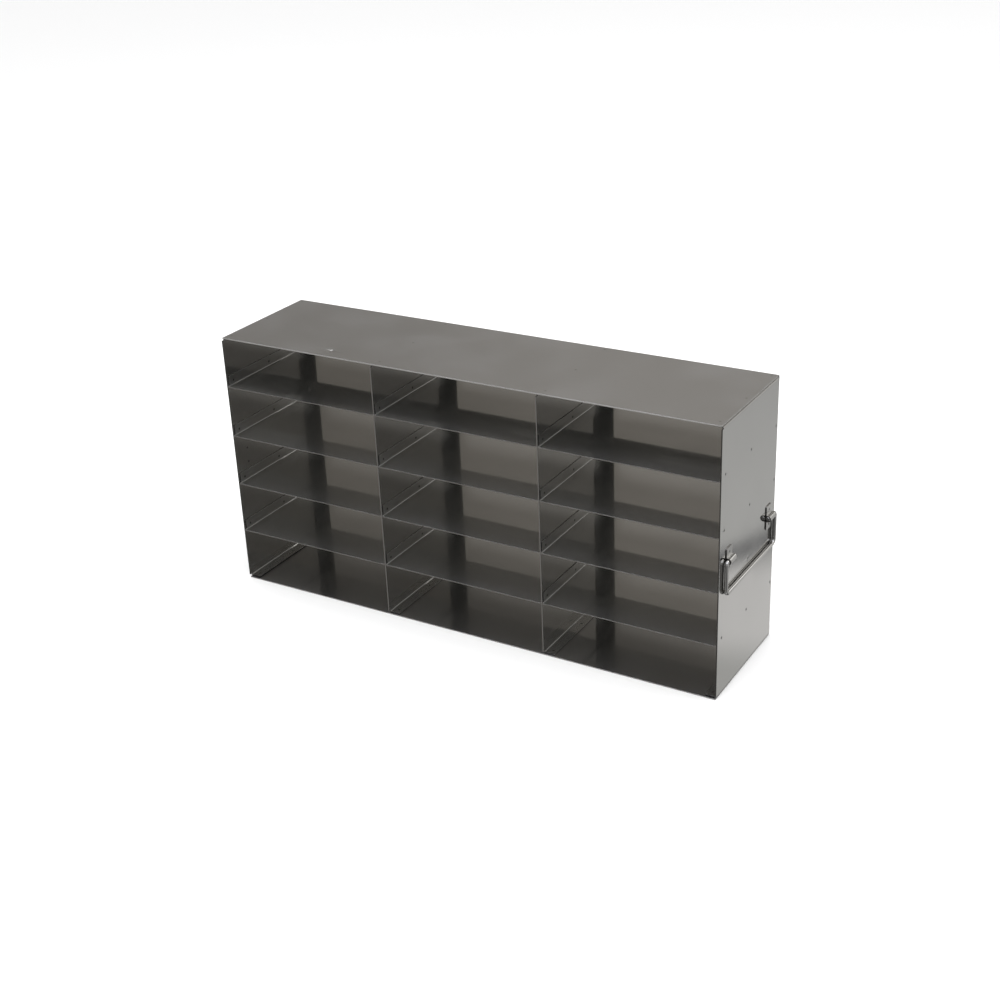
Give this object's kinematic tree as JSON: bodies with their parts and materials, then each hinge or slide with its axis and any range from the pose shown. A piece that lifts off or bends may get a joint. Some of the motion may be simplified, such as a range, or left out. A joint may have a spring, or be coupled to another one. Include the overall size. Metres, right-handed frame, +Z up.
{
  "type": "freezer storage rack",
  "caption": "Long stainless sheet rack for an upright freezer, open-fronted bays in columns and rows, with a folding wire handle on each end.",
  "frame": {"origin": "middle of the underside, midway along and across the whole rack", "axes": "+X along the rack towards the right-hand end seen from the open front, +Y from the open front to the back, +Z up"},
  "size_m": [0.5712, 0.1386, 0.282],
  "materials": {
    "carcass_sheet": "cold-rolled stainless sheet, fairly glossy with fine grain along the sheet",
    "shelf_sheet": "thin cold-rolled stainless sheet, fairly glossy",
    "strap_sheet": "pressed stainless strap, tumbled edges",
    "handle_wire": "bright drawn stainless wire"
  },
  "bodies": {
    "rack": {"top_sheet": "carcass_sheet", "bottom_sheet": "carcass_sheet", "left_end_panel": "carcass_sheet", "right_end_panel": "carcass_sheet", "divider_1": "carcass_sheet", "divider_2": "carcass_sheet", "shelf_column1_level1": "shelf_sheet", "shelf_column1_level2": "shelf_sheet", "shelf_column1_level3": "shelf_sheet", "shelf_column1_level4": "shelf_sheet", "shelf_column2_level1": "shelf_sheet", "shelf_column2_level2": "shelf_sheet", "shelf_column2_level3": "shelf_sheet", "shelf_column2_level4": "shelf_sheet", "shelf_column3_level1": "shelf_sheet", "shelf_column3_level2": "shelf_sheet", "shelf_column3_level3": "shelf_sheet", "shelf_column3_level4": "shelf_sheet", "right_strap_front": "strap_sheet", "right_strap_rear": "strap_sheet", "left_strap_front": "strap_sheet", "left_strap_rear": "strap_sheet"},
    "right_handle": {"right_handle": "handle_wire"},
    "left_handle": {"left_handle": "handle_wire"}
  },
  "joints": [
    {"name": "right_handle_hinge", "type": "hinge", "parent": "rack", "child": "right_handle", "pos_m": [0.2823, 0.0022, 0.142], "axis": [0, -1, 0], "range_deg": [0, 180]},
    {"name": "left_handle_hinge", "type": "hinge", "parent": "rack", "child": "left_handle", "pos_m": [-0.2823, -0.0022, 0.142], "axis": [0, 1, 0], "range_deg": [0, 180]}
  ]
}
